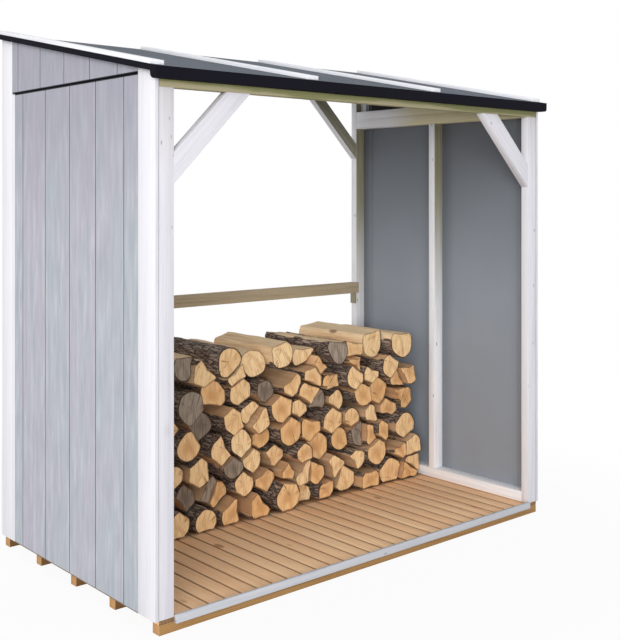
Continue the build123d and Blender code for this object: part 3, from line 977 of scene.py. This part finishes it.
# %% [markdown]
# ## The wrapped sheet
# A sheet of small squares is wrapped round each log, from the middle of the front end over the rim
# and along the sides to the middle of the back end, so every log has clean rows of faces and a rim
# of bark. The rows stand closer together near the two ends, where they show, than in the middle of
# the stack. The top logs lie open to view, so they get even rows. The sawn ends are a little out
# of square, which is why their faces catch the light differently.

# %% The sheet of one log
end_steps = (0.0, 0.3, 0.55, 0.78)
end_rows = len(end_steps) + 1
bark_thickness = 0.009
end_chamfer = 0.0015
most_lean = 0.06


def side_rows(count, crowding):
    """Places along a log from 0 to 1, crowded towards both ends."""
    even = np.linspace(0, 1, count)
    return even - crowding * np.sin(2 * math.pi * even) / (2 * math.pi)


def sheet_round(outline, heart, front, back, rows, crowding):
    """The points of the sheet by row and column, and how far out each lies, from 0 at the heart to 1
    on the outline."""
    rim = 1 - bark_thickness / np.linalg.norm(outline - heart, axis=1)
    front_end = [np.full(steps_around, step) for step in end_steps] + [rim]
    scales = np.array(front_end + [np.ones(steps_around)] * rows + front_end[::-1])
    along = np.concatenate([[0.0] * end_rows, side_rows(rows, crowding), [1.0] * end_rows])[:, None]
    spots = heart + (outline - heart) * scales[:, :, None]
    tilt = [log_random.uniform(-most_lean, most_lean) for _ in range(4)]
    front_lean, back_lean = (spots - heart) @ np.array(tilt[:2]), (spots - heart) @ np.array(tilt[2:])
    depth = (front + front_lean) * (1 - along) + (back + back_lean) * along
    depth += end_chamfer * ((scales == 1) & (along == 0)) - end_chamfer * ((scales == 1) & (along == 1))
    return np.stack([spots[:, :, 0], depth, spots[:, :, 1]], axis=2), scales


def wrapped(sheet):
    """A grid primitive that takes the places of the sheet's points, so that its first and last
    columns meet. Also the row and the column of each point, and the row of each face."""
    squares = len(sheet) - 1
    bpy.ops.mesh.primitive_grid_add(x_subdivisions=steps_around, y_subdivisions=squares, size=1)
    piece = bpy.context.active_object
    flat = points_of(piece)
    column = np.rint((flat[:, 0] + 0.5) * steps_around).astype(int) % steps_around
    row = np.rint((flat[:, 1] + 0.5) * squares).astype(int)
    faces = np.array([face.center[:] for face in piece.data.polygons])
    face_row = np.floor((faces[:, 1] + 0.5) * squares).astype(int)
    piece.data.vertices.foreach_set("co", sheet[row, column].ravel())
    return piece, row, column, face_row


# %% [markdown]
# ## What a log stores
# The finishes ask each point for its place in the tree, how far in from the rim it lies, and how
# far from the border of the bark. The pith lies opposite the bark, as in any wedge that is split
# from a trunk. Vertex groups say where the relief of bark and of split wood may come.

# %% Grain, finishes and groups of a log
bark_fade = 0.012
most_turn = 0.35
pith_beyond = (0.6, 1.2)


def store_tree(piece, points, heart, bark_middle, whole):
    """Stores each point's place in the tree and the tone of the log."""
    turn = log_random.uniform(-most_turn, most_turn)
    pith = heart - (bark_middle - heart) * (0.0 if whole else log_random.uniform(*pith_beyond))
    turned = [[math.cos(turn), -math.sin(turn)], [math.sin(turn), math.cos(turn)]]
    across = (points[:, (0, 2)] - pith) @ np.array(turned)
    shift = log_random.uniform(0, longest_shift)
    store(piece, "tree_place", np.column_stack([points[:, 1] + shift, across]))
    store(piece, "tone", np.full(len(points), log_random.random()))


def dress_faces(piece, face_row, face_rows, end_kind):
    """Gives the two ends with their rims one finish and the sides another."""
    for finish in log_finishes:
        piece.data.materials.append(finish)
    on_end = (face_row < end_rows) | (face_row >= face_rows - end_rows)
    piece.data.polygons.foreach_set("material_index", np.where(on_end, end_kind, SIDE))


def group_points(piece, on_side, cover):
    """Says how far the bark's relief and the split wood's fibres may move each point."""
    barked = np.clip(cover / bark_fade, 0, 1)
    weights_of = {"side": on_side * 1.0, "bark": on_side * barked, "split": on_side * (1 - barked)}
    for name, weights in weights_of.items():
        group = piece.vertex_groups.new(name=name)
        for point in np.flatnonzero(weights > 0):
            group.add([int(point)], float(weights[point]), "REPLACE")


# %% Wrapping one log
log_gap = 0.0075
split_softness = 0.1
open_softness = 0.04
softening_rounds = (8, 18)
old_share = 0.08
open_rows = 40
hidden_rows = 24


def wrapped_log(log, rows, crowding, axe_share, look):
    """A log with rim, rows and ends, made from its packed prism."""
    packed_outline, widths, side, front, back = outline_of(log)
    heart = packed_outline.mean(axis=0)
    outline, on_bark, whole = by_chance(packed_outline, widths, side, axe_share)
    if look:
        *placing, look_end = look
        outline, on_bark = as_chosen(packed_outline, *placing)
    softness = np.where(on_bark, 1.0, open_softness if look else split_softness)
    outline = softened(outline, softness, log_random.randint(*softening_rounds))
    reach = np.linalg.norm(outline - heart, axis=1)
    outline = heart + (outline - heart) * (1 - log_gap / reach)[:, None]
    step = np.linalg.norm(outline - np.roll(outline, 1, axis=0), axis=1).mean()
    cover = border_distance(on_bark, step)
    sheet, scales = sheet_round(outline, heart, front, back, rows, crowding)
    piece, row, column, face_row = wrapped(sheet)

    bark_middle = outline[on_bark].mean(axis=0) if on_bark.any() else outline[0]
    store_tree(piece, sheet[row, column], heart, bark_middle, whole)
    outward = scales[row, column]
    store(piece, "inward", 1 - outward)
    store(piece, "from_rim", (1 - outward) * np.linalg.norm(outline - heart, axis=1)[column])
    store(piece, "bark_cover", cover[column])
    # Where the painted shade of the stack goes
    store(piece, "painted_stack_shade", np.full(len(row), float(rows == hidden_rows)))
    end_kind = OLD if log_random.random() < old_share else FRESH
    dress_faces(piece, face_row, len(sheet) - 1, look_end if look else end_kind)
    group_points(piece, outward == 1, cover[column])
    bpy.data.objects.remove(log)
    return piece


# %% [markdown]
# ## Relief on the logs
# A Displace modifier moves a surface by a texture. Read through an empty that is stretched along
# the log, a round texture becomes long plates of bark or long fibres. The modifier is applied, so
# that the relief is real shape, and the empty is removed.

# %% Swelling, bark and fibres
smooth_logs_below = math.radians(40)


def relief(piece, group, size, stretch, strength, octaves=2):
    """Moves the points of a group in and out by a texture that is stretched along the logs."""
    texture = bpy.data.textures.new("relief", "CLOUDS")
    texture.noise_scale = size
    texture.noise_depth = octaves
    stretcher = bpy.data.objects.new("stretcher", None)
    stretcher.scale = (1, stretch, 1)
    bpy.context.scene.collection.objects.link(stretcher)
    modifier = piece.modifiers.new("relief", "DISPLACE")
    modifier.texture = texture
    modifier.texture_coords = "OBJECT"
    modifier.texture_coords_object = stretcher
    modifier.vertex_group = group
    modifier.strength = strength
    activate(piece)
    bpy.ops.object.modifier_apply(modifier=modifier.name)
    bpy.data.objects.remove(stretcher)


def firewood(node, rows, crowding, axe_share):
    """A course of the stack: its logs wrapped one by one, joined, closed and given their relief."""
    number = int(node.split("_")[-1])
    logs = [wrapped_log(log, rows, crowding, axe_share, top_looks.get((number, place)))
            for place, log in enumerate(separated(copy_of(node, node + "_logs")))]
    piece = joined(logs, node + "_logs")
    merge(piece, bpy.ops.mesh.normals_make_consistent, inside=False)
    relief(piece, "side", size=0.07, stretch=3.0, strength=0.007)
    relief(piece, "bark", size=0.02, stretch=2.5, strength=0.006, octaves=1)
    relief(piece, "split", size=0.016, stretch=9.0, strength=0.0035)
    bpy.ops.object.shade_smooth_by_angle(angle=smooth_logs_below)
    stands_for(piece, node)
    return piece


# %% The stack
hidden_crowding = 0.75
hidden_axe_share = 0.5
open_axe_share = 0.85
courses = sorted(node for node in nodes if node.startswith("firewood_course"))
for node in courses:
    if node in courses[-2:]:
        course = firewood(node, open_rows, 0.0, open_axe_share)
    else:
        course = firewood(node, hidden_rows, hidden_crowding, hidden_axe_share)
    print(course.name, len(course.data.polygons), "faces")

# %% [markdown]
# ## The sky
# The studio is plain, and a bright sky all round fills its shadows. The camera sees the sky as
# pure white, and so do mirrors, while the light that it sheds is weaker, so that white paint
# doesn't burn out.

# %% Sky
sky_strength = 0.74
pure_white = (1.0, 1.0, 1.0, 1.0)
faint_blue = (0.97, 0.98, 1.0, 1.0)


def camera_sees(wire):
    """1 for rays from the camera or by way of a mirror or glass, 0 for the rays that light things."""
    straight, glossy, through = (wire.node("LightPath", output=f"Is {kind} Ray")
                                 for kind in ("Camera", "Glossy", "Transmission"))
    return wire.math("MINIMUM", straight + glossy + through, 1.0)


world = bpy.data.worlds.new("studio")
bpy.context.scene.world = world
world.use_nodes = True
world.node_tree.nodes.clear()
sky = Wire(world.node_tree)
seen = sky.node("Background", None, {"Color": pure_white, "Strength": 1.0})
shed = sky.node("Background", None, {"Color": faint_blue, "Strength": sky_strength})
both = sky.node("MixShader", None, {0: camera_sees(sky), 1: shed, 2: seen})
sky.node("OutputWorld", None, {"Surface": both})
print("Sky strength:", sky_strength)

# %% [markdown]
# ## The studio floor
# The camera sees the floor as almost white near the store, and as white as the sky further off.
# Under the deck it sees the plain floor in its shade, so the gaps between the boards are dark.

# %% Studio floor
floor_grey = (0.7, 0.7, 0.7, 1.0)
floor_size = 80
fade_near = 1.3
fade_far = 2.4
white_near = 0.94
deck_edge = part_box("floor_deck")[1]

floor_finish, floor_wire = new_finish("studio floor")
floor_point = floor_wire.object_point()
whiteness = white_near + floor_point.length().step(fade_near, fade_far) * (1 - white_near)
beside = abs(floor_point.part(RIGHT)).step(deck_edge.x - 0.06, deck_edge.x - 0.13)
behind = abs(floor_point.part(BACK)).step(deck_edge.y - 0.02, deck_edge.y - 0.04)
fade = camera_sees(floor_wire) * whiteness * (1 - beside * behind)
pale = floor_wire.node("BsdfDiffuse", None, {"Color": floor_grey})
glow = floor_wire.node("Emission", None, {"Color": pure_white, "Strength": 1.0})
faded_floor = floor_wire.node("MixShader", None, {0: fade, 1: pale, 2: glow})
floor_wire.node("OutputMaterial", None, {"Surface": faded_floor})

bpy.ops.object.select_all(action="DESELECT")
bpy.ops.mesh.primitive_plane_add(size=floor_size)
floor = bpy.context.active_object
floor.name = "studio_floor"
floor.data.materials.append(floor_finish)
print("Floor:", floor_size, "m wide")

# %% [markdown]
# ## The lamps
# A large soft lamp stands high on the left, and a second one low in front shines in under the roof.
# Both stand far off, so the near post is hardly brighter than the far one.

# %% Lamps
def lamp(name, place, aim, width, height, power):
    """A large soft lamp that looks at a point."""
    light = bpy.data.lights.new(name, "AREA")
    light.shape = "RECTANGLE"
    light.size = width
    light.size_y = height
    light.energy = power
    holder = bpy.data.objects.new(name, light)
    holder.location = place
    holder.rotation_euler = (Vector(aim) - Vector(place)).to_track_quat("-Z", "Y").to_euler()
    bpy.context.scene.collection.objects.link(holder)


lamp("high lamp", place=(-15.0, -10.7, 8.0), aim=(0, 0, 0.8), width=10.0, height=10.0, power=960)
lamp("low lamp", place=(-10.6, -13.8, 2.2), aim=(0.2, 0, 1.2), width=9.0, height=4.0, power=1060)
bpy.context.scene.view_settings.view_transform = "Standard"
print("Lamps:", len(bpy.data.lights))
